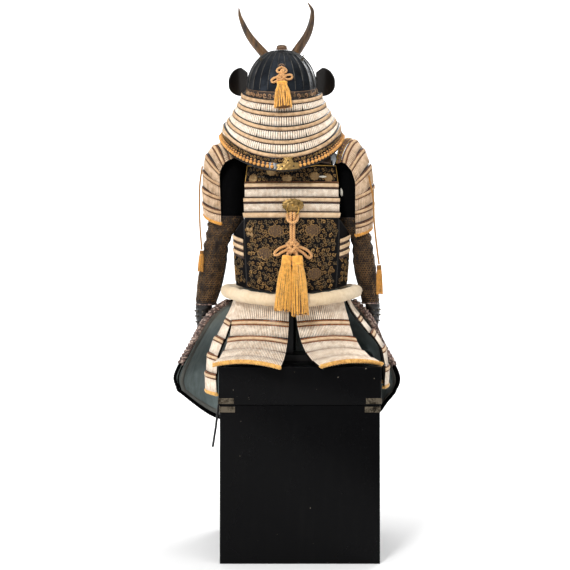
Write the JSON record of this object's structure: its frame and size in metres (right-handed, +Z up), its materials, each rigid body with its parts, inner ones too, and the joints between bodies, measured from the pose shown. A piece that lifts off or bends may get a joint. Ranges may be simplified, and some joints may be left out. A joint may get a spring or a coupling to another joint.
{
  "type": "samurai armour on armour chest",
  "caption": "Laced samurai armour with horned helmet, shoulder guards, mail sleeves and tasselled cords, seated on its black lacquered storage chest.",
  "frame": {"origin": "centre of the chest's underside, where the set stands on the floor", "axes": "+Z up; the armour faces -Y, so its back is towards +Y and the wearer's left is towards +X"},
  "size_m": [0.6421, 0.5124, 1.5284],
  "materials": {
    "chest_lacquer": "semi-gloss black lacquer on wood",
    "stand_wood": "plain blackened wood",
    "printed_leather": "stencilled leather, satin",
    "lacing": "flat silk lacing over black lacquered lames",
    "padding": "quilted cloth",
    "sash_cloth": "stuffed cotton roll",
    "mail_cloth": "fine mail on dark brown cloth",
    "black_iron": "black lacquered iron, satin",
    "lining": "plain woven lining",
    "gilt": "aged gilt",
    "horn": "brown-gold lacquered wood",
    "silk_cord": "braided silk",
    "black_cord": "braided cotton"
  },
  "bodies": {
    "root": {"chest_body": "chest_lacquer", "chest_lid": "chest_lacquer", "stand_base": "stand_wood", "stand_post": "stand_wood", "stand_head": "stand_wood", "cuirass_back_waist": "printed_leather", "cuirass_front_waist": "printed_leather", "cuirass_side_left": "printed_leather", "cuirass_side_right": "printed_leather", "cuirass_back_top": "printed_leather", "cuirass_front_top": "printed_leather", "cuirass_back_laced": "lacing", "cuirass_front_laced": "lacing", "shoulder_strap_left": "printed_leather", "shoulder_strap_right": "printed_leather", "shoulder_pad_left": "padding", "shoulder_pad_right": "padding", "sash": "sash_cloth", "shoulder_guard_plate_left": "printed_leather", "shoulder_guard_plate_right": "printed_leather", "shoulder_guard_laced_left": "lacing", "shoulder_guard_laced_right": "lacing", "sleeve_left": "mail_cloth", "sleeve_right": "mail_cloth", "hand_guard_left": "black_iron", "hand_guard_right": "black_iron", "thigh_guard_left": "lining", "thigh_guard_right": "lining", "thigh_guard_waistband": "lining", "helmet_bowl": "black_iron", "helmet_base_band": "printed_leather", "helmet_crown_ring": "gilt", "helmet_flap_left": "black_iron", "helmet_flap_right": "black_iron", "helmet_visor": "black_iron", "helmet_horn_socket": "gilt", "horn_left": "horn", "horn_right": "horn", "neck_guard": "lacing", "ring_plate": "gilt", "ring": "gilt", "back_bow": "silk_cord", "back_tassel_left": "silk_cord", "back_tassel_right": "silk_cord", "helmet_bow": "silk_cord", "helmet_tassel": "silk_cord", "guard_cord_left": "silk_cord", "guard_cord_right": "silk_cord", "guard_tassel_left": "silk_cord", "guard_tassel_right": "silk_cord", "tie_cord": "black_cord", "tasset_back_left": "lacing", "tasset_back_right": "lacing", "tasset_side_left": "lacing", "tasset_side_right": "lacing", "tasset_front_left": "lacing", "tasset_front_middle": "lacing", "tasset_front_right": "lacing"}
  },
  "joints": []
}
